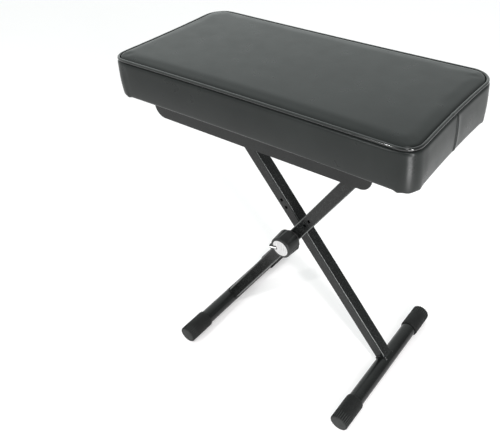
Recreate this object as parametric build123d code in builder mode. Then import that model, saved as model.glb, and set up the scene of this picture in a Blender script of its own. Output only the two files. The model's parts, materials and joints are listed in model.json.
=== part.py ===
"""Folding keyboard bench: padded seat on two rails, scissor legs, and a clamp knob at their pivot.

X runs along the seat, Y from front to back, Z up. The origin is on the floor under the seat's centre.
"""

import os
from math import atan2, cos, degrees, hypot, radians, sin

from build123d import *

os.makedirs("parts", exist_ok=True)

# Scissor frame
foot_spacing = 396.0
pivot_height = 286.5
pivot_x = -10.0
upper_arm = 330.0

# Leg tubes
leg_width = 25.0
leg_wall = 1.5
leg_corner = 3.0
leg_gap = 2.0
leg_top_stop = 6.0
weld_size = 3.0
weld_edge = 1.0
punched_hole = 6.0
punched_hole_reach = (53.0, 70.0)

# Foot bars and caps
foot_bar_diameter = 32.0
foot_bar_wall = 1.5
foot_overall = 343.0
cap_diameter = 37.5
cap_length = 61.0
cap_end_wall = 4.0
cap_end_round = 3.0
cap_lip = 0.5
cap_lip_length = 2.5
cap_flat = 0.4

# Cross tubes at the tops of the legs
cross_diameter = 16.0
cross_wall = 1.5
plug_length = 16.0

# Seat rails
rail_spacing = 210.0
rail_length = 438.0
rail_height = 41.0
rail_flange = 25.0
rail_thickness = 2.5
rail_bend = 3.0
rail_end_radius = 20.0
hinge_margin = 26.0
pin_drop = 12.5
raise_travel = 38.5

# Hinge and slide bolts, with their bushes
pin_diameter = 8.0
pin_head_diameter = 12.0
pin_head_height = 2.6
pin_socket = 4.0
pin_socket_depth = 1.8
pin_thread_depth = 12.0
pin_washer_diameter = 13.0
pin_washer_thickness = 0.8
bush_diameter = 12.0
bush_flange_diameter = 18.0
bush_flange = 1.5
bush_stand = 0.2

# Seat cushion
seat_length = 571.0
seat_depth = 270.0
front_corner_radius = 24.0
back_corner_radius = 42.0
long_side_draw = 3.0
short_side_draw = 4.0
band_height = 66.0
band_bulge = 1.5
lower_edge_round = 4.0
crown_rise = 9.0
crown_run = 70.0
band_steps = 4
crown_steps = 4
piping_diameter = 5.5
cover_thickness = 1.2
hem_width = 20.0
board_thickness = 12.0
cloth_thickness = 0.6

# Bolts that hold the seat board on the rails
seat_bolt_x = (-150.0, -25.0, 100.0)
seat_bolt_diameter = 6.0
seat_bolt_head_diameter = 11.0
seat_bolt_head_height = 3.0
seat_bolt_socket = 3.5
seat_bolt_socket_depth = 1.8
seat_washer_diameter = 12.5
seat_washer_thickness = 1.0
tee_nut_barrel = 8.0
tee_nut_flange = 19.0
tee_nut_flange_thickness = 1.2
tee_nut_depth = 9.0

# Pivot bolt, sleeves and discs
pivot_diameter = 10.0
pivot_head_diameter = 22.0
pivot_head_height = 5.0
pivot_head_round = 4.0
sleeve_diameter = 14.0
friction_disc_diameter = 24.0
thrust_washer_diameter = 34.0
thrust_washer_thickness = 2.0

# Knob
knob_front_diameter = 44.0
knob_back_diameter = 48.0
knob_length = 31.6
knob_rim_round = 2.5
knob_hub_diameter = 28.0
knob_hub_length = 4.3
knob_flutes = 6
knob_flute_radius = 9.0
knob_flute_depth = 2.0
knob_face_diameter = 36.5
knob_face_depth = 1.6
knob_face_dome = 0.8
lug_reach = 26.5
lug_width = 8.0
lug_length = 7.0
index_width = 3.2
index_depth = 1.0
index_length = 6.5
index_edge = 1.0
insert_diameter = 14.0
insert_length = 16.0

# Angles in degrees
weld_flare = 12.0
head_taper = 20.0
lug_angle = 195.0

# Clearances
running_clearance = 0.05
hole_clearance = 0.2
soft_clearance = 0.3
travel_clearance = 0.3
seat_fit = 0.02

# Places worked out from the driving dimensions
foot_z = cap_diameter / 2 - cap_flat
leg_angle = atan2(pivot_height - foot_z, foot_spacing / 2)
lower_arm = hypot(pivot_height - foot_z, foot_spacing / 2)
saddle_drop = foot_bar_diameter / 2 - ((foot_bar_diameter ** 2 - leg_width ** 2) ** 0.5) / 2
pin_reach = upper_arm * cos(leg_angle)
pin_z = pivot_height + upper_arm * sin(leg_angle)
hinge_x = pivot_x - pin_reach
slide_x = pivot_x + pin_reach
foot_a_x = pivot_x + foot_spacing / 2
foot_b_x = pivot_x - foot_spacing / 2
leg_centre = (leg_gap + leg_width) / 2
leg_front = -(leg_gap / 2 + leg_width)
leg_rear = leg_gap / 2 + leg_width

rail_outer = rail_spacing / 2
rail_inner = rail_outer - rail_thickness
rail_top = pin_z + pin_drop
rail_left = hinge_x - hinge_margin
rail_right = rail_left + rail_length
rail_middle = (rail_left + rail_right) / 2
slot_width = bush_diameter + 2 * travel_clearance
cross_half = rail_inner - bush_flange - travel_clearance
pin_seat = rail_outer + bush_stand + travel_clearance
bolt_row = rail_outer - (rail_flange + rail_thickness) / 2
bolt_places = [(x, y) for x in seat_bolt_x for y in (-bolt_row, bolt_row)]

board_bottom = rail_top + cloth_thickness
seat_bottom = board_bottom - cover_thickness
board_top = board_bottom + board_thickness
piping_radius = piping_diameter / 2
piping_z = seat_bottom + band_height
ledge_z = piping_z - piping_radius - soft_clearance
crown_inset = piping_diameter + 2 * soft_clearance

knob_back = leg_front - thrust_washer_thickness - travel_clearance
barrel_back = knob_back - knob_hub_length
barrel_front = barrel_back - knob_length


def along_y(x, z):
    """Place on the XZ plane for a cylinder that lies along Y."""
    return Location((x, 0, z), (90, 0, 0))


def side_plane(x, y, z, side):
    """Upright plane at a point, with its normal to the front for side -1 and to the back for side 1."""
    return Plane(origin=(x, y, z), x_dir=(1, 0, 0), z_dir=(0, side, 0))


def front_plane(y):
    """Upright plane across the pivot's axis at a depth, with its normal to the front."""
    return side_plane(pivot_x, y, pivot_height, -1)


def save(part, name):
    """Labels a finished piece and writes it."""
    part.label = name
    export_step(part, f"parts/{name}.step")


def seat_outline(inset):
    """Plan outline of the seat, each side bowed in between rounded corners."""
    x = seat_length / 2 - inset
    y = seat_depth / 2 - inset
    with BuildSketch() as outline:
        with BuildLine():
            ThreePointArc((-x, -y), (0, -y + long_side_draw), (x, -y))
            ThreePointArc((x, -y), (x - short_side_draw, 0), (x, y))
            ThreePointArc((x, y), (0, y - long_side_draw), (-x, y))
            ThreePointArc((-x, y), (-x + short_side_draw, 0), (-x, -y))
        make_face()
        fillet(outline.vertices().sort_by(Axis.Y)[:2], max(front_corner_radius - inset, lower_edge_round))
        fillet(outline.vertices().sort_by(Axis.Y)[-2:], max(back_corner_radius - inset, lower_edge_round))
    return outline.sketch


def cushion(skin, bottom):
    """Band and crown of the cushion, set in from its outside by skin."""
    band_top = ledge_z - skin
    band_foot = bottom + lower_edge_round
    crown_edge = crown_inset + skin
    crown_base = piping_z - skin
    band = [(skin + lower_edge_round / 2, bottom)]
    for step in range(band_steps + 1):
        share = step / band_steps
        bulge = band_bulge * (1 - (2 * share - 1) ** 2)
        band.append((skin - bulge, band_foot + share * (band_top - band_foot)))
    crown = [(crown_edge, band_top)]
    for step in range(crown_steps + 1):
        share = step / crown_steps
        crown.append((crown_edge + share * crown_run, crown_base + crown_rise * (1 - (1 - share) ** 2)))
    with BuildPart() as form:
        for sections in (band, crown):
            for inset, z in sections:
                with BuildSketch(Plane.XY.offset(z)):
                    add(seat_outline(inset))
            loft(ruled=True)
    return form.part


# Seat cover: vinyl skin, open underneath inside its hem
with BuildPart() as seat_cover:
    add(cushion(0, seat_bottom))
    add(cushion(cover_thickness, board_bottom), mode=Mode.SUBTRACT)
    with BuildSketch(Plane.XY.offset(seat_bottom)):
        add(seat_outline(hem_width))
    extrude(amount=2 * cover_thickness, mode=Mode.SUBTRACT)
save(seat_cover.part, "seat_cover")

# Piping: round cord on the ledge between band and crown
piping_path = seat_outline(piping_radius).face().outer_wire().moved(Location((0, 0, piping_z)))
with BuildPart() as seat_piping:
    with BuildSketch(Plane(origin=piping_path @ 0, z_dir=piping_path % 0)):
        Circle(piping_radius)
    sweep(path=piping_path)
save(seat_piping.part, "seat_piping")

# Seat board: plywood, holed for the tee nuts
with BuildPart() as seat_board:
    with BuildSketch(Plane.XY.offset(board_bottom)):
        add(seat_outline(cover_thickness + lower_edge_round / 2 + soft_clearance))
        with Locations(*bolt_places):
            Circle(tee_nut_barrel / 2 + seat_fit, mode=Mode.SUBTRACT)
    extrude(amount=board_thickness)
save(seat_board.part, "seat_board")

# Foam: fills the cover above the board, relieved over the tee nuts
with BuildPart() as seat_foam:
    add(cushion(cover_thickness + soft_clearance, board_bottom))
    with BuildSketch(Plane.XY.offset(board_bottom)):
        add(seat_outline(-lower_edge_round))
    extrude(amount=board_thickness, mode=Mode.SUBTRACT)
    with BuildSketch(Plane.XY.offset(board_top)):
        with Locations(*bolt_places):
            Circle(tee_nut_flange / 2 + soft_clearance)
    extrude(amount=tee_nut_flange_thickness + soft_clearance, mode=Mode.SUBTRACT)
save(seat_foam.part, "seat_foam")

# Dust cloth under the board, inside the hem
with BuildPart() as dust_cloth:
    with BuildSketch(Plane.XY.offset(rail_top)):
        add(seat_outline(hem_width + soft_clearance))
        with Locations(*bolt_places):
            Circle(seat_bolt_diameter / 2 + hole_clearance, mode=Mode.SUBTRACT)
    extrude(amount=cloth_thickness)
save(dust_cloth.part, "dust_cloth")

# Tee nuts let into the top of the board
with BuildPart() as tee_nuts:
    with BuildSketch(Plane.XY.offset(board_top)):
        with Locations(*bolt_places):
            Circle(tee_nut_flange / 2)
    extrude(amount=tee_nut_flange_thickness)
    with BuildSketch(Plane.XY.offset(board_top)):
        with Locations(*bolt_places):
            Circle(tee_nut_barrel / 2)
    extrude(amount=-tee_nut_depth)
    with BuildSketch(Plane.XY.offset(board_top + tee_nut_flange_thickness)):
        with Locations(*bolt_places):
            Circle(seat_bolt_diameter / 2 + running_clearance)
    extrude(amount=-tee_nut_depth - tee_nut_flange_thickness, mode=Mode.SUBTRACT)
save(tee_nuts.part, "tee_nuts")

# Washers and bolts that clamp the rails to the board
bolt_seat_z = rail_top - rail_thickness
bolt_head_z = bolt_seat_z - seat_washer_thickness

with BuildPart() as seat_washers:
    with BuildSketch(Plane.XY.offset(bolt_seat_z)):
        with Locations(*bolt_places):
            Circle(seat_washer_diameter / 2)
            Circle(seat_bolt_diameter / 2 + hole_clearance, mode=Mode.SUBTRACT)
    extrude(amount=-seat_washer_thickness)
save(seat_washers.part, "seat_washers")

with BuildPart() as seat_bolts:
    with BuildSketch(Plane.XY.offset(bolt_head_z)):
        with Locations(*bolt_places):
            Circle(seat_bolt_diameter / 2)
    extrude(amount=board_top - bolt_head_z)
    with BuildSketch(Plane.XY.offset(bolt_head_z)):
        with Locations(*bolt_places):
            Circle(seat_bolt_head_diameter / 2)
    extrude(amount=-seat_bolt_head_height, taper=head_taper)
    with BuildSketch(Plane.XY.offset(bolt_head_z - seat_bolt_head_height)):
        with Locations(*bolt_places):
            RegularPolygon(seat_bolt_socket / 2, 6, major_radius=False)
    extrude(amount=seat_bolt_socket_depth, mode=Mode.SUBTRACT)
save(seat_bolts.part, "seat_bolts")


def seat_rail(side):
    """Angle rail: flange under the board, web with rounded lower ends, hinge hole and open slot."""
    slot_end = slide_x - raise_travel
    slot_run = rail_right - slot_end
    with BuildPart() as rail:
        with BuildSketch(side_plane(rail_middle, side * rail_inner, rail_top - rail_height / 2, side)):
            Rectangle(rail_length, rail_height)
        extrude(amount=rail_thickness)
        with BuildSketch(Plane.XY.offset(rail_top)):
            with Locations((rail_middle, side * (rail_outer - rail_flange / 2))):
                Rectangle(rail_length, rail_flange)
        extrude(amount=-rail_thickness)
        lower_ends = rail.edges().filter_by(Axis.Y).group_by(Axis.Z)[0]
        fillet(lower_ends, rail_end_radius)
        bend = rail.edges().filter_by(Axis.X).group_by(Axis.Z)[-1].sort_by(Axis.Y)
        fillet(bend[0] if side < 0 else bend[-1], rail_bend)
        with BuildSketch(side_plane(hinge_x, side * rail_inner, pin_z, side)):
            Circle(bush_diameter / 2 + seat_fit)
        extrude(amount=rail_thickness, mode=Mode.SUBTRACT)
        with Locations(Location((slot_end, side * (rail_inner + rail_outer) / 2, pin_z), (90, 0, 0))):
            Cylinder(slot_width / 2, rail_thickness, mode=Mode.SUBTRACT)
        with Locations((slot_end + slot_run / 2, side * (rail_inner + rail_outer) / 2, pin_z)):
            Box(slot_run, rail_thickness, slot_width, mode=Mode.SUBTRACT)
        with BuildSketch(Plane.XY.offset(rail_top)):
            with Locations(*[(x, side * bolt_row) for x in seat_bolt_x]):
                Circle(seat_bolt_diameter / 2 + hole_clearance)
        extrude(amount=-rail_thickness, mode=Mode.SUBTRACT)
    return rail.part


save(seat_rail(-1), "rail_front")
save(seat_rail(1), "rail_rear")


def flanged_bushes(x, bore):
    """Pair of nylon bushes through the rails, flanged on the inside."""
    with BuildPart() as bushes:
        for side in (-1, 1):
            with BuildSketch(side_plane(x, side * rail_inner, pin_z, side)):
                Circle(bush_diameter / 2)
            extrude(amount=rail_thickness + bush_stand)
            with BuildSketch(side_plane(x, side * rail_inner, pin_z, side)):
                Circle(bush_flange_diameter / 2)
            extrude(amount=-bush_flange)
            with BuildSketch(side_plane(x, side * (rail_inner - bush_flange), pin_z, side)):
                Circle(bore)
            extrude(amount=bush_flange + rail_thickness + bush_stand, mode=Mode.SUBTRACT)
    return bushes.part


def pin_bolts(x):
    """Pair of low-headed bolts from outside the rails into the cross tube's plugs."""
    shank_end = cross_half - pin_thread_depth
    head_seat = pin_seat + pin_washer_thickness
    with BuildPart() as bolts:
        for side in (-1, 1):
            with BuildSketch(side_plane(x, side * shank_end, pin_z, side)):
                Circle(pin_diameter / 2)
            extrude(amount=head_seat - shank_end)
            with BuildSketch(side_plane(x, side * head_seat, pin_z, side)):
                Circle(pin_head_diameter / 2)
            extrude(amount=pin_head_height, taper=head_taper)
            with BuildSketch(side_plane(x, side * (head_seat + pin_head_height), pin_z, side)):
                RegularPolygon(pin_socket / 2, 6, major_radius=False)
            extrude(amount=-pin_socket_depth, mode=Mode.SUBTRACT)
    return bolts.part


def pin_washers(x):
    """Pair of washers under the heads of the pin bolts."""
    with BuildPart() as washers:
        for side in (-1, 1):
            with BuildSketch(side_plane(x, side * pin_seat, pin_z, side)):
                Circle(pin_washer_diameter / 2)
                Circle(pin_diameter / 2 + running_clearance, mode=Mode.SUBTRACT)
            extrude(amount=pin_washer_thickness)
    return washers.part


def cross_tube(x):
    """Round tube between the rails."""
    with BuildPart() as tube:
        with Locations(along_y(x, pin_z)):
            Cylinder(cross_diameter / 2, 2 * cross_half)
            Cylinder(cross_diameter / 2 - cross_wall, 2 * cross_half, mode=Mode.SUBTRACT)
    return tube.part


def cross_plugs(x):
    """Pair of threaded plugs in the ends of a cross tube."""
    with BuildPart() as plugs:
        for side in (-1, 1):
            with BuildSketch(side_plane(x, side * (cross_half - plug_length), pin_z, side)):
                Circle(cross_diameter / 2 - cross_wall - seat_fit)
                Circle(pin_diameter / 2 + seat_fit, mode=Mode.SUBTRACT)
            extrude(amount=plug_length)
    return plugs.part


# Hinge end, on leg A
save(flanged_bushes(hinge_x, pin_diameter / 2 + running_clearance), "hinge_bushes")
save(pin_bolts(hinge_x), "hinge_bolts")
save(pin_washers(hinge_x), "hinge_washers")
save(cross_tube(hinge_x), "cross_tube_a")
save(cross_plugs(hinge_x), "cross_plugs_a")

# Slide end, on leg B
save(flanged_bushes(slide_x, pin_diameter / 2 + seat_fit), "slide_bushes")
save(pin_bolts(slide_x), "slide_bolts")
save(pin_washers(slide_x), "slide_washers")
save(cross_tube(slide_x), "cross_tube_b")
save(cross_plugs(slide_x), "cross_plugs_b")


def leg_direction(lean):
    """Unit vector up along a leg."""
    return Vector(lean * cos(leg_angle), 0, sin(leg_angle))


def leg_tube(lean, y):
    """Square leg tube, coped over its foot bar and cross tube; lean is -1 for leg A and 1 for leg B."""
    up = leg_direction(lean)
    pivot = Vector(pivot_x, y, pivot_height)
    top = upper_arm - leg_top_stop
    bore = leg_width - 2 * leg_wall
    with BuildPart() as leg:
        with BuildSketch(Plane(origin=pivot - up * lower_arm, x_dir=(0, 1, 0), z_dir=up)):
            RectangleRounded(leg_width, leg_width, leg_corner)
        extrude(amount=lower_arm + top)
        with BuildSketch(Plane(origin=pivot - up * lower_arm, x_dir=(0, 1, 0), z_dir=up)):
            RectangleRounded(bore, bore, leg_corner - leg_wall)
        extrude(amount=lower_arm + top, mode=Mode.SUBTRACT)
        with Locations(along_y(pivot_x - lean * foot_spacing / 2, foot_z)):
            Cylinder(foot_bar_diameter / 2 + seat_fit, foot_overall, mode=Mode.SUBTRACT)
        with Locations(along_y(pivot_x + lean * pin_reach, pin_z)):
            Cylinder(cross_diameter / 2 + seat_fit, 2 * cross_half, mode=Mode.SUBTRACT)
        with Locations(along_y(pivot_x, pivot_height)):
            Cylinder(sleeve_diameter / 2 + seat_fit, foot_overall, mode=Mode.SUBTRACT)
        for reach in punched_hole_reach:
            centre = pivot + up * reach
            with BuildSketch(side_plane(centre.X, y - leg_width / 2, centre.Z, -1)):
                Rectangle(punched_hole, punched_hole, rotation=lean * degrees(leg_angle))
            extrude(amount=-2 * leg_wall, mode=Mode.SUBTRACT)
    return leg.part


def weld_bead(lean, y):
    """Weld round the foot of a leg, saddled on its foot bar."""
    up = leg_direction(lean)
    foot = Vector(pivot_x - lean * foot_spacing / 2, y, foot_z)
    reach = foot_bar_diameter / 2 + weld_size
    bead_width = leg_width + 2 * weld_edge
    bore = leg_width + 2 * seat_fit
    with BuildPart() as bead:
        with BuildSketch(Plane(origin=foot + up * reach, x_dir=(0, 1, 0), z_dir=-up)):
            RectangleRounded(bead_width, bead_width, leg_corner + weld_edge)
        extrude(amount=2 * weld_size + saddle_drop, taper=-weld_flare)
        with Locations(along_y(foot.X, foot.Z)):
            Cylinder(reach, foot_overall, mode=Mode.INTERSECT)
            Cylinder(foot_bar_diameter / 2 + seat_fit, foot_overall, mode=Mode.SUBTRACT)
        with BuildSketch(Plane(origin=foot, x_dir=(0, 1, 0), z_dir=up)):
            RectangleRounded(bore, bore, leg_corner + seat_fit)
        extrude(amount=reach, mode=Mode.SUBTRACT)
    return bead.part


save(leg_tube(-1, leg_centre), "leg_a_tube")
save(leg_tube(1, -leg_centre), "leg_b_tube")
save(weld_bead(-1, leg_centre), "weld_bead_a")
save(weld_bead(1, -leg_centre), "weld_bead_b")


def foot_bar(x):
    """Round foot tube along Y."""
    length = foot_overall - 2 * cap_end_wall
    with BuildPart() as bar:
        with Locations(along_y(x, foot_z)):
            Cylinder(foot_bar_diameter / 2, length)
            Cylinder(foot_bar_diameter / 2 - foot_bar_wall, length, mode=Mode.SUBTRACT)
    return bar.part


def foot_caps(x):
    """Pair of rubber caps over the ends of a foot bar, flat underneath."""
    with BuildPart() as caps:
        for side in (-1, 1):
            mouth = side_plane(x, side * (foot_overall / 2 - cap_length), foot_z, side)
            with BuildSketch(mouth):
                Circle(cap_diameter / 2 - cap_lip)
            extrude(amount=cap_length)
            with BuildSketch(mouth.offset(cap_lip_length)):
                Circle(cap_diameter / 2)
            extrude(amount=cap_length - cap_lip_length)
            end_face = caps.faces().sort_by(Axis.Y)[-1 if side > 0 else 0]
            fillet(end_face.edges(), cap_end_round)
            with BuildSketch(mouth):
                Circle(foot_bar_diameter / 2 + seat_fit)
            extrude(amount=cap_length - cap_end_wall, mode=Mode.SUBTRACT)
        with BuildSketch(Plane.XY):
            with Locations((x, 0)):
                Rectangle(cap_diameter, foot_overall)
        extrude(amount=-cap_diameter, mode=Mode.SUBTRACT)
    return caps.part


save(foot_bar(foot_a_x), "foot_bar_a")
save(foot_caps(foot_a_x), "foot_caps_a")
save(foot_bar(foot_b_x), "foot_bar_b")
save(foot_caps(foot_b_x), "foot_caps_b")

# Pivot bolt: domed head behind leg A, shank through both legs into the knob
with BuildPart() as pivot_bolt:
    with BuildSketch(front_plane(leg_rear)):
        Circle(pivot_diameter / 2)
    extrude(amount=leg_rear - knob_back + insert_length)
    with BuildSketch(side_plane(pivot_x, leg_rear, pivot_height, 1)):
        Circle(pivot_head_diameter / 2)
    extrude(amount=pivot_head_height)
    fillet(pivot_bolt.faces().sort_by(Axis.Y)[-1].edges(), pivot_head_round)
save(pivot_bolt.part, "pivot_bolt")


def pivot_ring(rear, thickness, diameter, clearance):
    """Ring round the pivot bolt, from its rear face towards the front."""
    with BuildPart() as ring:
        with BuildSketch(front_plane(rear)):
            Circle(diameter / 2)
            Circle(pivot_diameter / 2 + clearance, mode=Mode.SUBTRACT)
        extrude(amount=thickness)
    return ring.part


# Sleeves through the legs, friction disc between them, thrust washer before them
save(pivot_ring(leg_rear, leg_width, sleeve_diameter, seat_fit), "pivot_sleeve_a")
save(pivot_ring(-leg_gap / 2, leg_width, sleeve_diameter, running_clearance), "pivot_sleeve_b")
save(pivot_ring(leg_gap / 2, leg_gap - travel_clearance, friction_disc_diameter, seat_fit), "friction_disc")
save(pivot_ring(leg_front, thrust_washer_thickness, thrust_washer_diameter, running_clearance), "thrust_washer")

# Knob insert: threaded sleeve on the pivot bolt
save(pivot_ring(knob_back, insert_length, insert_diameter, running_clearance), "knob_insert")

# Knob body: fluted tapering barrel with a pointer lug, a hub behind and a dish in front
knob_nose = front_plane(barrel_front)
lug_x = (cos(radians(lug_angle)), 0, sin(radians(lug_angle)))
lug_face = Plane(origin=knob_nose.offset(-knob_face_dome).origin, x_dir=lug_x, z_dir=knob_nose.z_dir)
index_middle = lug_reach - index_edge - index_length / 2

with BuildPart() as knob_body:
    with BuildSketch(front_plane(barrel_back)):
        Circle(knob_back_diameter / 2)
    with BuildSketch(knob_nose):
        Circle(knob_front_diameter / 2)
    loft()
    fillet(knob_body.edges().filter_by(GeomType.CIRCLE), knob_rim_round)
    flute_centre = knob_back_diameter / 2 + knob_flute_radius - knob_flute_depth
    with BuildSketch(front_plane(barrel_back)):
        with PolarLocations(flute_centre, knob_flutes, start_angle=lug_angle + 180 / knob_flutes):
            Circle(knob_flute_radius)
    extrude(amount=knob_length, mode=Mode.SUBTRACT)
    with BuildSketch(lug_face):
        with Locations((lug_reach / 2, 0)):
            Rectangle(lug_reach, lug_width)
    extrude(amount=-lug_length)
    with BuildSketch(front_plane(barrel_back)):
        Circle(knob_hub_diameter / 2)
    extrude(amount=-knob_hub_length)
    with BuildSketch(knob_nose):
        Circle(knob_face_diameter / 2 + seat_fit)
    extrude(amount=-knob_face_depth, mode=Mode.SUBTRACT)
    with BuildSketch(front_plane(knob_back)):
        Circle(insert_diameter / 2 + seat_fit)
    extrude(amount=insert_length, mode=Mode.SUBTRACT)
    with BuildSketch(lug_face):
        with Locations((index_middle, 0)):
            Rectangle(index_length + 2 * seat_fit, index_width + 2 * seat_fit)
    extrude(amount=-index_depth, mode=Mode.SUBTRACT)
save(knob_body.part, "knob_body")

# Knob face: bare domed disc in the dish
with BuildPart() as knob_face:
    with BuildSketch(knob_nose.offset(-knob_face_depth)):
        Circle(knob_face_diameter / 2)
    extrude(amount=knob_face_depth)
    fillet(knob_face.faces().sort_by(Axis.Y)[0].edges(), knob_face_dome)
save(knob_face.part, "knob_face")

# Knob index: plain pale inlay in the lug
with BuildPart() as knob_index:
    with BuildSketch(lug_face.offset(-index_depth)):
        with Locations((index_middle, 0)):
            Rectangle(index_length, index_width)
    extrude(amount=index_depth)
save(knob_index.part, "knob_index")
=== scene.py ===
"""Looks of the folding keyboard bench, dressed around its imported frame.

Lengths are in metres, in the part's own frame: X along the seat, Y to the back, Z up from the floor.
"""

import json
import math

import bpy
from mathutils import Matrix, Vector, noise


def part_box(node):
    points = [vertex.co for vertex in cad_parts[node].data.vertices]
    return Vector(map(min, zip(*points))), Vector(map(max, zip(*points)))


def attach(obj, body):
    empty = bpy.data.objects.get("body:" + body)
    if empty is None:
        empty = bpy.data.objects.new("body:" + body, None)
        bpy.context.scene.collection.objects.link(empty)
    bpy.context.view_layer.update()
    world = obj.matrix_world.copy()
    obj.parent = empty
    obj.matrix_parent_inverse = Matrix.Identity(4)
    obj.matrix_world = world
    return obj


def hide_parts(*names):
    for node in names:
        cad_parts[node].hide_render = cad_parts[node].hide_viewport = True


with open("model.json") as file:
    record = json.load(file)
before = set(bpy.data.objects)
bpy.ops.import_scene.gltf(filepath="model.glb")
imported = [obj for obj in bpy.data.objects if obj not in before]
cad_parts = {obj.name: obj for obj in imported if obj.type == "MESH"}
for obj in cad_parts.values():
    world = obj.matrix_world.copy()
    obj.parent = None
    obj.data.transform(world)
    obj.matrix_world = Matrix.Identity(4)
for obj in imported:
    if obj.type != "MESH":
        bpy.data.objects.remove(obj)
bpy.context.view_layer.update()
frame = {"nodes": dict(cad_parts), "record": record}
nodes = frame["nodes"]
scene = bpy.context.scene

# Camera, fitted to the photograph's edges
photo_width = 500
sensor_width = 36.0
focal_pixels = 603.9
centre_shift = (68.3, -4.9)
camera_place = (0.5538, -0.7171, 1.0337)
camera_azimuth = math.radians(35.89)
camera_elevation = math.radians(38.25)
camera_roll = math.radians(-2.01)
camera_clip = 50

# Cushion
seat_length = 0.571
seat_depth = 0.270
front_corner = 0.024
back_corner = 0.042
long_side_draw = 0.003
short_side_draw = 0.004
corner_pull = 0.0019
corner_pull_near = 0.014
corner_pull_fade = 0.014
crown_gap = 0.0004
crown_drop = 0.0006
shoulder_rise = 0.0034
shoulder_run = 0.0018
shoulder_reaches = (0.0070, 0.0052, 0.0036, 0.0024, 0.0012, 0.0)
shoulder_width = 0.009
crown_rise = 0.0024
near_crown_run = 0.026
far_crown_run = 0.010
band_bulge = 0.0015
band_roll = 0.0009
band_roll_fade = 0.006
lower_edge_round = 0.004
lower_edge_turns = (30, 60, 90)
hem_width = 0.020
hem_shares = (0.45, 0.75, 1.0)
closing_gap = 0.0002
grid_step = 0.006
corner_step = 0.002
corner_zone = 0.024

# Groove for the piping and top edge of the band, as insets and drops below the piping's middle
groove_rows = ((0.0048, 0.0016), (0.0030, 0.0034))
band_edge_rows = ((0.0012, 0.0034), (0.0001, 0.0041))
band_top_drop = 0.0056

# Cloth simulation that swells the cushion, and how its moves are capped and averaged
cloth_frames = 20
cloth_mass = 0.02
cloth_stretch = 30
cloth_shear = 15
cloth_bend = 4
cloth_pressure = 4
swell_cap = 0.0006
swell_passes = 12
swell_mix = 0.5

# Folds under the corners, as reaches in from the sides' lines
front_folds = ((0.0250, 0.0025), (0.0128, 0.0102), (0.0030, 0.0240))
back_folds = ((0.0350, 0.0020), (0.0180, 0.0100), (0.0100, 0.0180), (0.0020, 0.0350))
fold_width = 0.0042
fold_height = 0.010
fold_out = 0.0010
fold_drop = 0.0018

# Sewn joint of the side band on the right end
seam_y = -0.007
seam_steps = (0.0008, 0.0016, 0.0026, 0.0040)
seam_depth = 0.0012
seam_width = 0.0011
seam_lip = 0.0019
seam_lip_away = 0.0035
seam_lip_width = 0.0030
seam_fade = 0.012

# Piping, and the joint of its ends on the right
piping_sides = 14
piping_step = 0.003
piping_slack = 0.0001
piping_uneven = 0.00012
piping_uneven_scale = 90
piping_joint_y = -0.016
piping_joint_reach = 0.0045
piping_joint_swell = 0.0004

# Dust cloth
sheet_squares = (32, 16)
sheet_ripple = 0.00012
sheet_ripple_scale = 40

# Painted highlight along the edges of the square legs, as distances from a leg's middle
leg_edge = (0.0108, 0.0115)

# Foot caps: shape from the outer end, and places of the painted highlight from the middle of the bar
cap_length = 0.061
cap_end_wall = 0.004
cap_dome = 0.0008
cap_rounding = 0.003
cap_ring_shares = (0.14, 0.22, 0.30, 0.38, 0.48, 0.60, 0.72, 0.84)
cap_lip = 0.0005
cap_lip_length = 0.0025
cap_softness = 0.0006
cap_ribs = 26
cap_rib_sides = 6
cap_rib_depth = 0.0015
cap_rib_start = 0.0012
cap_rib_end = 0.024
cap_rib_fade = 0.008
cap_rib_zone = (0.1500, 0.1600)
cap_rib_tops = (0.45, 0.10)
cap_rib_highlight = 0.55
cap_end_zone = (0.1680, 0.1712)
cap_end_highlight = 0.45

# Knob's rim lip, pointer and index stripe, as reaches from its axis
rim_reach = (0.0171, 0.0195)
rim_height = 0.0006
rim_steps = 96
rim_sides = 12
pointer_turn = math.radians(195)
pointer_reach = (0.0088, 0.0266)
pointer_width = 0.0080
pointer_corner = 0.0016
pointer_height = 0.0007
stripe_reach = (0.0100, 0.0258)
stripe_width = 0.0034
stripe_corner = 0.0007
stripe_height = 0.0009
bar_bevel = 0.00025
bar_sunk = 0.0009

# Studio
floor_half = 6.0
floor_glow = 0.27
sky_colour = (0.94, 1.0, 0.985, 1)
sky_brightest = (-0.80, 0.50, 0.30)
sky_span = (-0.4, 0.9)
sky_strengths = (0.3, 1.5)

# Usual span of a noise texture's values
noise_span = (0.3, 0.7)

seat_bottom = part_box("seat_cover")[0].z
board_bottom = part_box("seat_board")[0].z
piping_low, piping_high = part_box("seat_piping")
face_low, face_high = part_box("knob_face")
piping_z = (piping_low.z + piping_high.z) / 2
piping_radius = (piping_high.z - piping_low.z) / 2
crown_inset = 2 * piping_radius + crown_gap
top_inset = crown_inset + shoulder_width


def set_range(node, span, values):
    """Sets what a Map Range node takes in and what it gives."""
    for socket, value in zip(("From Min", "From Max", "To Min", "To Max"), (*span, *values)):
        node.inputs[socket].default_value = value


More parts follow.
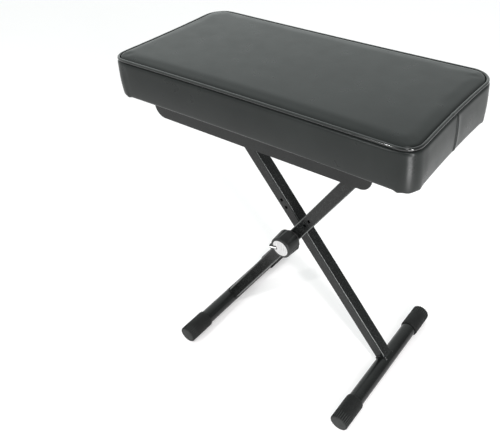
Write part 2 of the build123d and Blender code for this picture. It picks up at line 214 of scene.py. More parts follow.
class Finish:
    """A material with one Principled shader, and short ways to give it texture."""

    def __init__(self, name, colour, roughness, **sockets):
        self.material = bpy.data.materials.new(name)
        self.material.use_nodes = True
        self.tree = self.material.node_tree
        self.shader = self.tree.nodes["Principled BSDF"]
        self.shader.inputs["Base Color"].default_value = (*colour, 1)
        self.shader.inputs["Roughness"].default_value = roughness
        for socket, value in sockets.items():
            self.shader.inputs[socket.replace("_", " ")].default_value = value
        self.height = None

    def node(self, kind, **settings):
        made = self.tree.nodes.new(kind)
        for key, value in settings.items():
            setattr(made, key, value)
        return made

    def link(self, source, target):
        self.tree.links.new(source, target)

    def coordinates(self, stretch=(1, 1, 1), turn=(0, 0, 0)):
        place = self.node("ShaderNodeTexCoord")
        mapping = self.node("ShaderNodeMapping")
        mapping.inputs["Scale"].default_value = stretch
        mapping.inputs["Rotation"].default_value = turn
        self.link(place.outputs["Object"], mapping.inputs["Vector"])
        return mapping.outputs["Vector"]

    def noise(self, scale, detail=3, stretch=(1, 1, 1), turn=(0, 0, 0)):
        texture = self.node("ShaderNodeTexNoise")
        texture.inputs["Scale"].default_value = scale
        texture.inputs["Detail"].default_value = detail
        self.link(self.coordinates(stretch, turn), texture.inputs["Vector"])
        return texture.outputs[0]

    def cells(self, scale, stretch=(1, 1, 1)):
        texture = self.node("ShaderNodeTexVoronoi", feature="F1")
        texture.inputs["Scale"].default_value = scale
        self.link(self.coordinates(stretch), texture.inputs["Vector"])
        return texture.outputs["Distance"]

    def leg_coordinates(self, middle, turn):
        """Place across, along Y and along a leg that leans by a turn about Y."""
        mapping = self.node("ShaderNodeMapping", vector_type="TEXTURE")
        mapping.inputs["Location"].default_value = middle
        mapping.inputs["Rotation"].default_value = (0, turn, 0)
        self.link(self.coordinates(), mapping.inputs["Vector"])
        return mapping.outputs["Vector"]

    def growing(self, distance, span, most=1):
        """Share, from 0 to most, that grows over a span of a distance."""
        share = self.node("ShaderNodeMapRange", interpolation_type="SMOOTHSTEP")
        set_range(share, span, (0, most))
        self.link(distance, share.inputs["Value"])
        return share.outputs["Result"]

    def beyond(self, source, axis, span, most=1):
        """Share that grows over a span of distances along an axis."""
        parts = self.node("ShaderNodeSeparateXYZ")
        self.link(source, parts.inputs["Vector"])
        away = self.node("ShaderNodeMath", operation="ABSOLUTE")
        self.link(parts.outputs[axis], away.inputs[0])
        return self.growing(away.outputs["Value"], span, most)

    def round_bar(self, middle, span):
        """Share that grows over a span of distances from a bar's axis along Y."""
        offset = self.node("ShaderNodeVectorMath", operation="SUBTRACT")
        self.link(self.coordinates((1, 0, 1)), offset.inputs[0])
        offset.inputs[1].default_value = (middle.x, 0, middle.z)
        reach = self.node("ShaderNodeVectorMath", operation="LENGTH")
        self.link(offset.outputs["Vector"], reach.inputs[0])
        return self.growing(reach.outputs["Value"], span)

    def combined(self, operation, first, second):
        result = self.node("ShaderNodeMath", operation=operation)
        self.link(first, result.inputs[0])
        self.link(second, result.inputs[1])
        return result.outputs["Value"]

    def painted_highlight(self, share, gain=0.4, low=0.24, high=0.36):
        """Painted highlight for vary_colour, from a share of 0 to 1 broken up by noise."""
        wear = self.node("ShaderNodeMath", operation="MULTIPLY_ADD")
        self.link(share, wear.inputs[0])
        wear.inputs[1].default_value = gain
        self.link(self.spread(self.noise(400), low, high), wear.inputs[2])
        return wear.outputs["Value"]

    def spread(self, source, low, high):
        """Source, a noise's values, spread over low to high."""
        span = self.node("ShaderNodeMapRange")
        set_range(span, noise_span, (low, high))
        self.link(source, span.inputs["Value"])
        return span.outputs["Result"]

    def vary_colour(self, source, dark, light):
        mix = self.node("ShaderNodeMix", data_type="RGBA")
        colours = [socket for socket in mix.inputs if socket.type == "RGBA"]
        colours[0].default_value = (*dark, 1)
        colours[1].default_value = (*light, 1)
        self.link(self.spread(source, 0, 1), mix.inputs["Factor"])
        result = [socket for socket in mix.outputs if socket.type == "RGBA"][0]
        self.link(result, self.shader.inputs["Base Color"])

    def vary_roughness(self, source, low, high):
        self.link(self.spread(source, low, high), self.shader.inputs["Roughness"])

    def bump(self, source, distance, strength=1.0):
        bump = self.node("ShaderNodeBump")
        bump.inputs["Strength"].default_value = strength
        bump.inputs["Distance"].default_value = distance
        self.link(source, bump.inputs["Height"])
        if self.height:
            self.link(self.height, bump.inputs["Normal"])
        self.height = bump.outputs["Normal"]
        self.link(self.height, self.shader.inputs["Normal"])


def grey(value, tint=0.0):
    """Near-neutral grey with a slight green tint."""
    return (value * (1 - tint), value * (1 + tint / 2), value)


def vinyl():
    finish = Finish("vinyl", grey(0.0125), roughness=0.30, Specular_IOR_Level=0.17)
    finish.vary_colour(finish.noise(9), grey(0.0105, 0.08), grey(0.0145, 0.08))
    finish.vary_roughness(finish.noise(35), 0.27, 0.34)
    finish.bump(finish.cells(900), distance=0.00004, strength=0.5)
    finish.bump(finish.noise(160), distance=0.00006, strength=0.5)
    return finish.material


def piping_vinyl():
    finish = Finish("piping_vinyl", grey(0.008), roughness=0.16, Specular_IOR_Level=0.3,
                    Coat_Weight=0.3, Coat_Roughness=0.05)
    finish.vary_colour(finish.noise(30), grey(0.006, 0.05), grey(0.011, 0.05))
    finish.vary_roughness(finish.noise(120), 0.11, 0.18)
    finish.bump(finish.noise(400), distance=0.00004, strength=0.4)
    return finish.material


def powder_coat():
    finish = Finish("powder_coat", grey(0.007), roughness=0.23, Specular_IOR_Level=0.25)
    finish.vary_colour(finish.noise(22), grey(0.005, 0.05), grey(0.009, 0.05))
    finish.vary_roughness(finish.noise(60), 0.20, 0.27)
    finish.bump(finish.noise(900, detail=2), distance=0.00005, strength=0.6)
    return finish.material


def edge_highlight_coat(tube, foot):
    """Powder coat on a leg tube, with a painted highlight that makes its edges a little lighter."""
    tube_low, tube_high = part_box(tube)
    foot_low, foot_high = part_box(foot)
    bolt_low, bolt_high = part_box("pivot_bolt")
    pivot = (bolt_low + bolt_high) / 2
    reach = pivot - (foot_low + foot_high) / 2
    finish = Finish("edge_highlight_" + tube, grey(0.007), roughness=0.23, Specular_IOR_Level=0.25)
    middle = (pivot.x, (tube_low.y + tube_high.y) / 2, pivot.z)
    place = finish.leg_coordinates(middle, math.atan2(reach.x, reach.z))
    sides = [finish.beyond(place, axis, leg_edge) for axis in "XY"]
    edges = finish.combined("MULTIPLY", *sides)
    # painted highlight: the tube's edges are painted lighter, broken up by noise
    finish.vary_colour(finish.painted_highlight(edges), grey(0.006, 0.05), grey(0.090, 0.05))
    finish.vary_roughness(finish.noise(60), 0.20, 0.27)
    finish.bump(finish.noise(900, detail=2), distance=0.00005, strength=0.6)
    return finish.material


def rubber(caps, bar):
    """Rubber of a pair of foot caps, with a painted highlight on the tops of their ribs and on their ends.
    """
    low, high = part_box(caps)
    bar_low, bar_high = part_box(bar)
    radius = (high.x - low.x) / 2
    rib_tops = [radius - share * cap_rib_depth for share in cap_rib_tops]
    finish = Finish("rubber_" + caps, grey(0.007), roughness=0.62, Specular_IOR_Level=0.2)
    place = finish.coordinates()
    ribbed = finish.beyond(place, "Y", cap_rib_zone, cap_rib_highlight)
    tops = finish.round_bar((bar_low + bar_high) / 2, rib_tops)
    ribs = finish.combined("MULTIPLY", ribbed, tops)
    ends = finish.beyond(place, "Y", cap_end_zone, cap_end_highlight)
    ribs_and_ends_highlight = finish.combined("MAXIMUM", ribs, ends)
    # painted highlight: the rib tops and the caps' ends are painted lighter, broken up by noise
    finish.vary_colour(finish.painted_highlight(ribs_and_ends_highlight), grey(0.005, 0.03), grey(0.046, 0.03))
    finish.vary_roughness(finish.noise(150), 0.55, 0.70)
    finish.bump(finish.noise(1400, detail=2), distance=0.00005, strength=0.6)
    return finish.material


def moulded_plastic():
    finish = Finish("moulded_plastic", grey(0.012), roughness=0.42, Specular_IOR_Level=0.3)
    finish.vary_colour(finish.noise(50), grey(0.009, 0.04), grey(0.015, 0.04))
    finish.vary_roughness(finish.noise(200), 0.37, 0.48)
    finish.bump(finish.noise(1600, detail=2), distance=0.00004, strength=0.6)
    return finish.material


def silver_face():
    finish = Finish("silver_face", grey(0.80), roughness=0.30, Metallic=1.0)
    streaks = finish.noise(60, detail=4, stretch=(14, 1, 1), turn=(0, math.radians(25), 0))
    finish.vary_colour(streaks, grey(0.42), grey(0.74))
    finish.vary_roughness(streaks, 0.24, 0.40)
    finish.bump(streaks, distance=0.00003, strength=0.5)
    return finish.material


def pale_inlay():
    finish = Finish("pale_inlay", grey(0.78), roughness=0.35)
    finish.vary_colour(finish.noise(300), grey(0.74), grey(0.82))
    finish.vary_roughness(finish.noise(400), 0.30, 0.42)
    return finish.material


def zinc():
    finish = Finish("zinc", grey(0.55), roughness=0.32, Metallic=1.0)
    finish.vary_colour(finish.noise(500), (0.50, 0.51, 0.52), (0.62, 0.62, 0.60))
    finish.vary_roughness(finish.noise(700), 0.26, 0.42)
    finish.bump(finish.noise(1500), distance=0.00002, strength=0.5)
    return finish.material


def black_oxide():
    finish = Finish("black_oxide", grey(0.03), roughness=0.38, Metallic=0.6)
    finish.vary_colour(finish.noise(400), grey(0.022), grey(0.040))
    finish.vary_roughness(finish.noise(600), 0.32, 0.46)
    finish.bump(finish.noise(1800), distance=0.00002, strength=0.5)
    return finish.material


def nylon():
    finish = Finish("nylon", grey(0.018), roughness=0.5)
    finish.vary_colour(finish.noise(200), grey(0.014), grey(0.024))
    finish.vary_roughness(finish.noise(500), 0.44, 0.58)
    finish.bump(finish.noise(1500), distance=0.00003, strength=0.5)
    return finish.material


def fibre():
    finish = Finish("fibre", (0.03, 0.027, 0.025), roughness=0.75)
    finish.vary_colour(finish.noise(900, detail=5), (0.022, 0.020, 0.018), (0.040, 0.036, 0.032))
    finish.bump(finish.noise(1600), distance=0.00008, strength=0.7)
    return finish.material


def plywood():
    finish = Finish("plywood", (0.50, 0.36, 0.22), roughness=0.65)
    plies = finish.noise(30, detail=4, stretch=(0.3, 1.5, 24))
    finish.vary_colour(plies, (0.33, 0.22, 0.13), (0.58, 0.43, 0.28))
    finish.bump(plies, distance=0.0001, strength=0.6)
    return finish.material


def felt():
    finish = Finish("felt", grey(0.016), roughness=0.9, Sheen_Weight=0.25)
    finish.vary_colour(finish.noise(500, detail=5), grey(0.011), grey(0.024))
    finish.bump(finish.noise(1300, detail=4), distance=0.00015, strength=0.7)
    return finish.material


# Finish of every node that shows, by the record's material slot
finishes = {
    "black_vinyl": vinyl(),
    "piping_vinyl": piping_vinyl(),
    "foam": fibre(),
    "plywood": plywood(),
    "dust_cloth": felt(),
    "black_steel": powder_coat(),
    "zinc_steel": zinc(),
    "black_bolts": black_oxide(),
    "black_nylon": nylon(),
    "friction_fibre": fibre(),
    "black_rubber": rubber("foot_caps_a", "foot_bar_a"),
    "knob_plastic": moulded_plastic(),
    "silver_face": silver_face(),
    "white_index": pale_inlay(),
}
for subpart in frame["record"]["subparts"]:
    mesh = nodes[subpart["node"]].data
    mesh.materials.clear()
    mesh.materials.append(finishes[subpart["material_slot"]])
# the leg tubes take the powder coat with the painted edge highlight
nodes["leg_a_tube"].data.materials[0] = edge_highlight_coat("leg_a_tube", "foot_bar_a")
nodes["leg_b_tube"].data.materials[0] = edge_highlight_coat("leg_b_tube", "foot_bar_b")


def new_piece(name, points, faces, body, slot):
    """A smooth mesh piece that rides on a body and takes a slot's finish."""
    mesh = bpy.data.meshes.new(name)
    mesh.from_pydata(points, [], faces)
    mesh.validate()
    mesh.shade_smooth()
    mesh.materials.append(finishes[slot])
    piece = bpy.data.objects.new(name, mesh)
    scene.collection.objects.link(piece)
    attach(piece, body)
    return piece


def draw_in(x, y, z):
    """Point of the seat with its sides bowed in between the corners.

    The front corners are rounder towards the top.
    """
    across = 1 - (2 * y / seat_depth) ** 2
    along = 1 - (2 * x / seat_length) ** 2
    drawn_x = x * (1 - 2 * short_side_draw / seat_length * across)
    drawn_y = y * (1 - 2 * long_side_draw / seat_depth * along)
    if y < 0:
        reach = seat_length / 2 - abs(x) + seat_depth / 2 - abs(y)
        nearness = math.exp(-(max(0, reach - corner_pull_near) / corner_pull_fade) ** 2)
        height = max(0, min((z - seat_bottom) / (piping_z - seat_bottom), 1))
        pull = corner_pull * nearness * height
        drawn_x -= math.copysign(pull, x)
        drawn_y += pull
    return drawn_x, drawn_y, z


def edge_place(x, y, inset):
    """Place and outward normal of a square grid's point, with the grid's edge on the rounded outline."""
    half_x = seat_length / 2 - inset
    half_y = seat_depth / 2 - inset
    radius = (front_corner if y < 0 else back_corner) - inset
    out_x = (abs(x) - (half_x - radius)) / radius
    out_y = (abs(y) - (half_y - radius)) / radius
    if out_x > 0 and out_y > 0:
        round_x = out_x * math.sqrt(1 - out_y ** 2 / 2)
        round_y = out_y * math.sqrt(1 - out_x ** 2 / 2)
        place = (half_x - radius + radius * round_x, half_y - radius + radius * round_y)
        normal = Vector((round_x, round_y)).normalized()
    else:
        place = (abs(x), abs(y))
        normal = Vector((1, 0)) if out_x > out_y else Vector((0, 1))
    sign_x = math.copysign(1, x)
    sign_y = math.copysign(1, y)
    return place[0] * sign_x, place[1] * sign_y, Vector((normal.x * sign_x, normal.y * sign_y))


def ticks(half, extra=()):
    """Even steps from -half to half, closer near both ends and where extra ticks are given."""
    middle = half - corner_zone
    count = 2 * round(middle / grid_step)
    even = [middle * (2 * step / count - 1) for step in range(count + 1)]
    apart = [tick for tick in even if all(abs(tick - fine) > grid_step / 3 for fine in extra)]
    count = round(corner_zone / corner_step)
    ends = [middle + corner_zone * step / count for step in range(1, count + 1)]
    return sorted(apart + list(extra) + ends + [-tick for tick in ends])


def grid_loop(columns, rows):
    """Indices round the edge of a grid, anticlockwise from its lowest corner."""
    front = [(i, 0) for i in range(columns - 1)]
    right = [(columns - 1, j) for j in range(rows - 1)]
    back = [(i, rows - 1) for i in range(columns - 1, 0, -1)]
    left = [(0, j) for j in range(rows - 1, 0, -1)]
    return front + right + back + left


def rise(reach, run):
    """Share, from 0 to 1, of a rounded rise that is whole at run."""
    return 1 - (1 - max(0, min(reach / run, 1))) ** 2


def crown_height(x, y, reach):
    """Height of the top above its seam, at a point that is some reach in from the seam."""
    half_x = seat_length / 2 - crown_inset
    half_y = seat_depth / 2 - crown_inset
    along = rise(half_x + x, far_crown_run) * rise(half_x - x, near_crown_run)
    across = rise(half_y + y, near_crown_run) * rise(half_y - y, far_crown_run)
    return shoulder_rise * (1 - math.exp(-reach / shoulder_run)) + crown_rise * along * across


def seam_relief(x, y):
    """How far the band stands in or out at the sewn joint of its ends."""
    if x < 0:
        return 0.0
    away = y - seam_y
    groove = -seam_depth * math.exp(-(away / seam_width) ** 2)
    lip = seam_lip * math.exp(-((away - seam_lip_away) / seam_lip_width) ** 2)
    return groove + lip


def corner_fold(x, y, hang):
    """Share, from 0 to 1, of the small folds where the vinyl is drawn under the corners.

    hang is the height above the hem.
    """
    reach = (seat_length / 2 - abs(x), seat_depth / 2 - abs(y))
    folds = front_folds if y < 0 else back_folds
    nearest = min(math.dist(reach, fold) for fold in folds)
    return math.exp(-(nearest / fold_width) ** 2 - hang / fold_height)


def side_rows():
    """Inset, height and kind of each row round the cushion, from the shoulder to the hem's inner edge.

    The height of a shoulder row is left to the crown.
    """
    rows = [(crown_inset + reach, None, "shoulder" if reach else "seam") for reach in shoulder_reaches]
    rows += [(inset, piping_z - drop, "groove") for inset, drop in groove_rows]
    rows += [(inset, piping_z - drop, "band") for inset, drop in band_edge_rows]
    top = piping_z - band_top_drop
    foot = seat_bottom + lower_edge_round
    count = round((top - foot) / grid_step)
    for step in range(count + 1):
        share = step / count
        fall = share * (top - foot)
        bulge = band_bulge * (1 - (2 * share - 1) ** 2)
        bulge += band_roll * math.exp(-fall / band_roll_fade)
        rows.append((-bulge, top - fall, "band"))
    for turn in lower_edge_turns:
        angle = math.radians(turn)
        inset = lower_edge_round * (1 - math.cos(angle))
        rows.append((inset, foot - lower_edge_round * math.sin(angle), "lower edge"))
    for share in hem_shares:
        rows.append((lower_edge_round + share * (hem_width - lower_edge_round), seat_bottom, "hem"))
    rows.append((hem_width, board_bottom + closing_gap, "hem"))
    return rows


def close_underside(points, faces, at, columns, rows):
    """Fills the loop at the hem's inner edge with a grid, and gives the new points."""
    first = len(points)
    for j in range(1, rows - 1):
        for i in range(1, columns - 1):
            across = j / (rows - 1)
            along = i / (columns - 1)
            x = points[at[i, 0]][0] * (1 - across) + points[at[i, rows - 1]][0] * across
            y = points[at[0, j]][1] * (1 - along) + points[at[columns - 1, j]][1] * along
            at[i, j] = len(points)
            points.append((x, y, board_bottom + closing_gap))
    for j in range(rows - 1):
        for i in range(columns - 1):
            faces.append((at[i, j], at[i, j + 1], at[i + 1, j + 1], at[i + 1, j]))
    return range(first, len(points))


def cushion():
    """Crowned top on a square grid, with the shoulder, band and hem in rows round it.

    Its underside is closed just inside the board. The points of the sewn lines are given too.
    """
    fine = [seam_y + side * step for step in seam_steps for side in (-1, 1)] + [seam_y]
    x_ticks = ticks(seat_length / 2 - top_inset)
    y_ticks = ticks(seat_depth / 2 - top_inset, fine)
    columns = len(x_ticks)
    points = []
    faces = []
    sewn = []
    edge = {}
    for j, y in enumerate(y_ticks):
        for i, x in enumerate(x_ticks):
            edge[i, j] = edge_place(x, y, top_inset)
            place = edge[i, j][:2]
            points.append(draw_in(*place, piping_z - crown_drop + crown_height(*place, shoulder_width)))
    for j in range(len(y_ticks) - 1):
        for i in range(columns - 1):
            corner = j * columns + i
            faces.append((corner, corner + 1, corner + columns + 1, corner + columns))
    loop = grid_loop(columns, len(y_ticks))
    above = [j * columns + i for i, j in loop]
    count = len(loop)
    for inset, height, kind in side_rows():
        below = range(len(points), len(points) + count)
        for place in loop:
            x, y, normal = edge[place]
            out = top_inset - inset
            level = height
            if kind in ("shoulder", "seam"):
                outward = (x + normal.x * out, y + normal.y * out)
                level = piping_z - crown_drop + crown_height(*outward, inset - crown_inset)
            if kind == "band":
                out += seam_relief(x, y) * min(1, (piping_z - height) / seam_fade)
            if kind in ("band", "lower edge"):
                fold = corner_fold(x + normal.x * out, y + normal.y * out, height - seat_bottom)
                out += fold_out * fold
                level -= fold_drop * fold
            points.append(draw_in(x + normal.x * out, y + normal.y * out, level))
        for step in range(count):
            following = (step + 1) % count
            faces.append((above[step], below[step], below[following], above[following]))
        if kind in ("seam", "groove", "lower edge", "hem"):
            sewn += below
        above = below
    sewn += close_underside(points, faces, dict(zip(loop, above)), columns, len(y_ticks))
    return new_piece("seat_cushion", points, faces, "seat", "black_vinyl"), sewn


def even_out(piece, moves, held):
    """Moves averaged with their neighbours' over the mesh, with the held points left still."""
    beside = [[] for _ in moves]
    for first, second in (edge.vertices for edge in piece.data.edges):
        beside[first].append(second)
        beside[second].append(first)
    free = [index for index in range(len(moves)) if index not in held]
    for _ in range(swell_passes):
        sums = [sum((moves[near] for near in beside[index]), Vector()) for index in free]
        for index, total in zip(free, sums):
            moves[index] = moves[index].lerp(total / len(beside[index]), swell_mix)
    return moves


def swell(piece, sewn):
    """Inflates a cushion between its sewn lines as cloth, and keeps the shape."""
    group = piece.vertex_groups.new(name="sewn")
    group.add(sewn, 1.0, "REPLACE")
    before = [vertex.co.copy() for vertex in piece.data.vertices]
    modifier = piece.modifiers.new("swell", "CLOTH")
    modifier.collision_settings.use_collision = False
    settings = modifier.settings
    settings.vertex_group_mass = group.name
    settings.mass = cloth_mass
    settings.tension_stiffness = cloth_stretch
    settings.compression_stiffness = cloth_stretch
    settings.shear_stiffness = cloth_shear
    settings.bending_stiffness = cloth_bend
    settings.use_pressure = True
    settings.uniform_pressure_force = cloth_pressure
    settings.effector_weights.gravity = 0
    scene.frame_end = cloth_frames
    for step in range(1, cloth_frames + 1):
        scene.frame_set(step)
    shaped = piece.evaluated_get(bpy.context.evaluated_depsgraph_get()).to_mesh()
    moves = [vertex.co - start for vertex, start in zip(shaped.vertices, before)]
    piece.modifiers.remove(modifier)
    piece.vertex_groups.remove(group)
    scene.frame_set(1)
    for index, move in enumerate(moves):
        if move.length > 0:
            moves[index] = move * (swell_cap * math.tanh(move.length / swell_cap) / move.length)
    moves = even_out(piece, moves, set(sewn))
    for vertex, start, move in zip(piece.data.vertices, before, moves):
        vertex.co = start + move


def smooth_more(piece):
    """One level of subdivision."""
    modifier = piece.modifiers.new("smooth", "SUBSURF")
    modifier.levels = 1
    modifier.render_levels = 1


def outline_loop(inset, step):
    """Points and outward normals round the seat's outline at an inset, before its sides are drawn in."""
    found = []
    half_x = seat_length / 2 - inset
    half_y = seat_depth / 2 - inset
    corners = ((1, -1, front_corner), (1, 1, back_corner), (-1, 1, back_corner), (-1, -1, front_corner))
    start = -90
    least_pieces = 2
    least_bends = 6
    previous = (-(half_x - front_corner + inset), -half_y)
    for sign_x, sign_y, corner in corners:
        radius = corner - inset
        middle = (sign_x * (half_x - radius), sign_y * (half_y - radius))
        turn = math.radians(start)
        normal = Vector((math.cos(turn), math.sin(turn)))
        arrive = (middle[0] + radius * normal.x, middle[1] + radius * normal.y)
        run = math.dist(previous, arrive)
        pieces = max(least_pieces, round(run / step))
        for piece in range(pieces):
            share = piece / pieces
            found.append((previous[0] + share * (arrive[0] - previous[0]),
                          previous[1] + share * (arrive[1] - previous[1]), normal))
        bends = max(least_bends, round(radius * math.pi / step))
        for bend in range(bends):
            turn = math.radians(start + 90 * bend / bends)
            normal = Vector((math.cos(turn), math.sin(turn)))
            found.append((middle[0] + radius * normal.x, middle[1] + radius * normal.y, normal))
        start += 90
        turn = math.radians(start)
        previous = (middle[0] + radius * math.cos(turn), middle[1] + radius * math.sin(turn))
    return found


def ring_faces(rings, sides):
    """Faces of a closed ring of round sections, each with its points in order."""
    faces = []
    for ring in range(rings):
        following = (ring + 1) % rings
        for side in range(sides):
            beside = (side + 1) % sides
            faces.append((ring * sides + side, following * sides + side,
                          following * sides + beside, ring * sides + beside))
    return faces


def piping():
    """Round welt sewn in the seam, with the overlap where its ends meet."""
    sides = piping_sides
    points = []
    loop = outline_loop(piping_radius, piping_step)
    for x, y, normal in loop:
        joint = 0
        if normal.x > abs(normal.y):
            joint = math.exp(-((y - piping_joint_y) / piping_joint_reach) ** 6)
        uneven = piping_uneven * noise.noise((piping_uneven_scale * x, piping_uneven_scale * y, 0))
        radius = piping_radius - piping_slack + uneven + piping_joint_swell * joint
        for side in range(sides):
            angle = 2 * math.pi * side / sides
            out = radius * math.cos(angle)
            level = piping_z + radius * math.sin(angle)
            points.append(draw_in(x + normal.x * out, y + normal.y * out, level))
    faces = ring_faces(len(loop), sides)
    return new_piece("piping_welt", points, faces, "seat", "piping_vinyl")


def dust_cloth():
    """Thin sheet under the board, stretched inside the hem, and its size."""
    low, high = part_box("dust_cloth")
    squares_x, squares_y = sheet_squares
    points = []
    faces = []
    for layer, height in enumerate((low.z, high.z)):
        for j in range(squares_y + 1):
            for i in range(squares_x + 1):
                x = low.x + (high.x - low.x) * i / squares_x
                y = low.y + (high.y - low.y) * j / squares_y
                ripple = sheet_ripple * noise.noise((sheet_ripple_scale * x, sheet_ripple_scale * y, 3))
                points.append((x, y, height - (abs(ripple) if layer == 0 else 0)))
    columns = squares_x + 1
    layer_size = columns * (squares_y + 1)
    for j in range(squares_y):
        for i in range(squares_x):
            corner = j * columns + i
            square = (corner, corner + 1, corner + columns + 1, corner + columns)
            faces.append(tuple(reversed(square)))
            faces.append(tuple(layer_size + index for index in square))
    loop = [j * columns + i for i, j in grid_loop(columns, squares_y + 1)]
    for here, there in zip(loop, loop[1:] + loop[:1]):
        faces.append((here, there, layer_size + there, layer_size + here))
    return new_piece("dust_sheet", points, faces, "seat", "dust_cloth"), high - low


def cap_profile(radius, bore_radius):
    """Radius and distance from the outer end of a rubber cap.

    The profile goes from near the end's centre round to the bottom of the cap's bore.
    """
    profile = [(0.4 * radius, 0.05 * cap_dome), (0.75 * radius, 0.45 * cap_dome)]
    for turn in (0, 22, 45, 68, 90):
        angle = math.radians(turn)
        reach = radius - cap_rounding * (1 - math.sin(angle))
        profile.append((reach, cap_dome + cap_rounding * (1 - math.cos(angle))))
    profile += [(radius, share * cap_length) for share in cap_ring_shares]
    step = cap_length - cap_lip_length
    profile.append((radius, step - cap_softness))
    profile.append((radius - 0.4 * cap_lip, step - cap_softness / 6))
    lip_radius = radius - cap_lip
    profile.append((lip_radius, step + cap_softness / 2))
    profile.append((lip_radius, cap_length - cap_softness))
    profile.append((lip_radius - cap_softness / 3, cap_length - cap_softness / 6))
    profile.append((lip_radius - cap_softness, cap_length))
    profile.append((bore_radius, cap_length))
    profile.append((bore_radius, cap_end_wall))
    return profile


def foot_caps(node, bar, body):
    """Pair of ribbed rubber caps on a foot bar, flat where they stand."""
    low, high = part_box(node)
    bar_low, bar_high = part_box(bar)
    middle = Vector(((bar_low.x + bar_high.x) / 2, 0, (bar_low.z + bar_high.z) / 2))
    radius = (high.x - low.x) / 2
    bore_radius = (bar_high.x - bar_low.x) / 2
    sides = cap_rib_sides * cap_ribs
    rings = cap_profile(radius, bore_radius)
    points = []
    faces = []
    for end in (-1, 1):
        tip = end * (high.y - low.y) / 2
        centre = len(points)
        points.append((middle.x, tip, middle.z))
        for reach, away in rings:
            ribbed = max(0.0, min(1.0, (cap_rib_end - away) / cap_rib_fade))
            ribbed *= min(1.0, away / cap_rib_start)
            for side in range(sides):
                angle = 2 * math.pi * side / sides
                rib = cap_rib_depth * ribbed * (0.5 - 0.5 * math.cos(cap_ribs * angle))
                x = middle.x + (reach - rib) * math.cos(angle)
                z = max(0.0, middle.z + (reach - rib) * math.sin(angle))
                points.append((x, tip - end * away, z))
        first = centre + 1
        for side in range(sides):
            beside = (side + 1) % sides
            triangle = (centre, first + side, first + beside)
            faces.append(triangle if end < 0 else tuple(reversed(triangle)))
            for ring in range(len(rings) - 1):
                inner = first + ring * sides
                outer = inner + sides
                square = (inner + side, outer + side, outer + beside, inner + beside)
                faces.append(square if end < 0 else tuple(reversed(square)))
        last = first + (len(rings) - 1) * sides
        disc = tuple(range(last, last + sides))
        faces.append(disc if end < 0 else tuple(reversed(disc)))
    piece = new_piece("ribbed_" + node, points, faces, body, "black_rubber")
    piece.data.materials[0] = rubber(node, bar)
    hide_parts(node)


def knob_place(along, aside, before):
    """Point on the knob, from its places along and beside the pointer and its distance before the face."""
    cos_turn = math.cos(pointer_turn)
    sin_turn = math.sin(pointer_turn)
    x = (face_low.x + face_high.x) / 2 + along * cos_turn - aside * sin_turn
    z = (face_low.z + face_high.z) / 2 + along * sin_turn + aside * cos_turn
    return x, face_low.y - before, z


def rim_lip():
    """Rolled lip that holds the silver face in the knob."""
    inner, outer = rim_reach
    points = []
    for ring in range(rim_steps):
        turn = 2 * math.pi * ring / rim_steps
        for side in range(rim_sides):
            angle = 2 * math.pi * side / rim_sides
            reach = (inner + outer) / 2 + (outer - inner) / 2 * math.cos(angle)
            before = rim_height * math.sin(angle)
            points.append(knob_place(reach * math.cos(turn), reach * math.sin(turn), before))
    new_piece("rim_lip", points, ring_faces(rim_steps, rim_sides), "knob", "knob_plastic")


def bar_outline(reach, width, corner):
    """Points round a bar along the pointer, with rounded corners."""
    outline = []
    for end, side, start in ((1, -1, -90), (1, 1, 0), (-1, 1, 90), (-1, -1, 180)):
        along = reach[1] - corner if end > 0 else reach[0] + corner
        aside = side * (width / 2 - corner)
        for turn in (0, 30, 60, 90):
            angle = math.radians(start + turn)
            outline.append((along + corner * math.cos(angle), aside + corner * math.sin(angle)))
    return outline


def raised_bar(name, slot, reach, width, corner, height):
    """Low bar along the pointer, sunk in the knob and bevelled in front."""
    points = []
    faces = []
    for inset, before in ((0, -bar_sunk), (0, height - bar_bevel), (bar_bevel, height)):
        narrow = (reach[0] + inset, reach[1] - inset)
        outline = bar_outline(narrow, width - 2 * inset, corner - inset)
        points += [knob_place(along, aside, before) for along, aside in outline]
    count = len(outline)
    for layer in range(2):
        for step in range(count):
            here = layer * count + step
            there = layer * count + (step + 1) % count
            faces.append((here, there, there + count, here + count))
    faces.append(tuple(reversed(range(count))))
    faces.append(tuple(range(2 * count, 3 * count)))
    piece = new_piece(name, points, faces, "knob", slot)
    piece.data.shade_flat()
    return piece


def add_light(name, place, aim, size, power, upright=(0, 0, 1)):
    """Soft rectangular light aimed at a point, with its second side as near to upright as can be."""
    lamp = bpy.data.lights.new(name, "AREA")
    lamp.shape = "RECTANGLE"
    lamp.size, lamp.size_y = size
    lamp.energy = power
    light = bpy.data.objects.new(name, lamp)
    scene.collection.objects.link(light)
    back = (Vector(place) - Vector(aim)).normalized()
    across = Vector(upright).cross(back).normalized()
    turn = Matrix((across, back.cross(across), back)).transposed().to_4x4()
    light.matrix_world = Matrix.Translation(place) @ turn
    light.visible_camera = False


def add_floor():
    """Plain pale floor."""
    finish = Finish("pale_floor", grey(0.75), roughness=0.9, Specular_IOR_Level=0.1,
                    Emission_Color=(1, 1, 1, 1), Emission_Strength=floor_glow)
    finish.vary_colour(finish.noise(3), (0.765, 0.740, 0.745), (0.775, 0.750, 0.755))
    mesh = bpy.data.meshes.new("floor")
    corners = [(x * floor_half, y * floor_half, 0) for x, y in ((-1, -1), (1, -1), (1, 1), (-1, 1))]
    mesh.from_pydata(corners, [], [(0, 1, 2, 3)])
    mesh.materials.append(finish.material)
    floor = bpy.data.objects.new("floor", mesh)
    scene.collection.objects.link(floor)


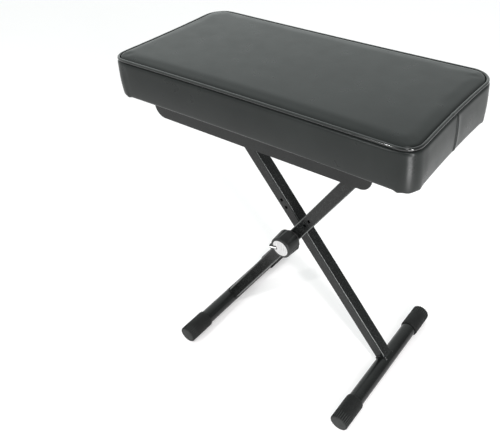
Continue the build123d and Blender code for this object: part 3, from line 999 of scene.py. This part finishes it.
def add_camera():
    """Camera at the photograph's viewpoint."""
    flat = math.cos(camera_elevation)
    back = Vector((math.sin(camera_azimuth) * flat,
                   -math.cos(camera_azimuth) * flat,
                   math.sin(camera_elevation)))
    right = Vector((0, 0, 1)).cross(back).normalized()
    up = back.cross(right)
    cos_roll = math.cos(camera_roll)
    sin_roll = math.sin(camera_roll)
    across = cos_roll * right + sin_roll * up
    upright = cos_roll * up - sin_roll * right
    data = bpy.data.cameras.new("photo_camera")
    data.sensor_fit = "HORIZONTAL"
    data.sensor_width = sensor_width
    data.lens = focal_pixels * sensor_width / photo_width
    data.shift_x = -centre_shift[0] / photo_width
    data.shift_y = centre_shift[1] / photo_width
    data.clip_end = camera_clip
    camera = bpy.data.objects.new("photo_camera", data)
    scene.collection.objects.link(camera)
    turn = Matrix((across, upright, back)).transposed().to_4x4()
    camera.matrix_world = Matrix.Translation(camera_place) @ turn
    scene.camera = camera


def sky_share(tree, towards, span, values):
    """Brightness that goes from one value to another over a span of cosines from a direction."""
    direction = tree.nodes.new("ShaderNodeTexCoord")
    nearness = tree.nodes.new("ShaderNodeVectorMath")
    nearness.operation = "DOT_PRODUCT"
    nearness.inputs[1].default_value = Vector(towards).normalized()
    share = tree.nodes.new("ShaderNodeMapRange")
    share.interpolation_type = "SMOOTHSTEP"
    set_range(share, span, values)
    tree.links.new(direction.outputs["Generated"], nearness.inputs[0])
    tree.links.new(nearness.outputs["Value"], share.inputs["Value"])
    return share.outputs["Result"]


def add_surroundings():
    """White studio, brightest low at the back left and dim behind the camera."""
    world = bpy.data.worlds.new("studio")
    world.use_nodes = True
    tree = world.node_tree
    background = tree.nodes["Background"]
    background.inputs["Color"].default_value = sky_colour
    strength = sky_share(tree, sky_brightest, sky_span, sky_strengths)
    tree.links.new(strength, background.inputs["Strength"])
    scene.world = world


def add_lights():
    """Soft boxes for the whole bench, the legs' edges, the band's front corner and the piping's glint."""
    add_light("key_box", place=(0.7, -0.9, 2.4), aim=(0, 0, 0.3), size=(0.35, 0.35), power=13)
    add_light("edge_strip", place=(1.285, -0.72, 0.79), aim=(0.03, 0.0, 0.3), size=(0.08, 1.12), power=21,
              upright=(-0.43, -0.04, 1.025))
    add_light("corner_box", place=(0.95, -0.76, 0.10), aim=(0.274, -0.125, 0.6), size=(0.45, 0.30), power=8)
    add_light("glint_box", place=(-0.56, -1.84, 1.31), aim=(0.245, -0.137, 0.63), size=(0.10, 0.10),
              power=13)


add_camera()
add_floor()
add_surroundings()
add_lights()
scene.view_settings.view_transform = "Standard"

pad, sewn_points = cushion()
swell(pad, sewn_points)
smooth_more(pad)
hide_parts("seat_cover", "seat_foam")

welt = piping()
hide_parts("seat_piping")

sheet, sheet_size = dust_cloth()
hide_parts("dust_cloth")

foot_caps("foot_caps_a", "foot_bar_a", "leg_a")
foot_caps("foot_caps_b", "foot_bar_b", "leg_b")

rim_lip()
raised_bar("pointer_bar", "knob_plastic", pointer_reach, pointer_width, pointer_corner, pointer_height)
stripe = raised_bar("index_stripe", "white_index", stripe_reach, stripe_width, stripe_corner, stripe_height)
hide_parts("knob_index")
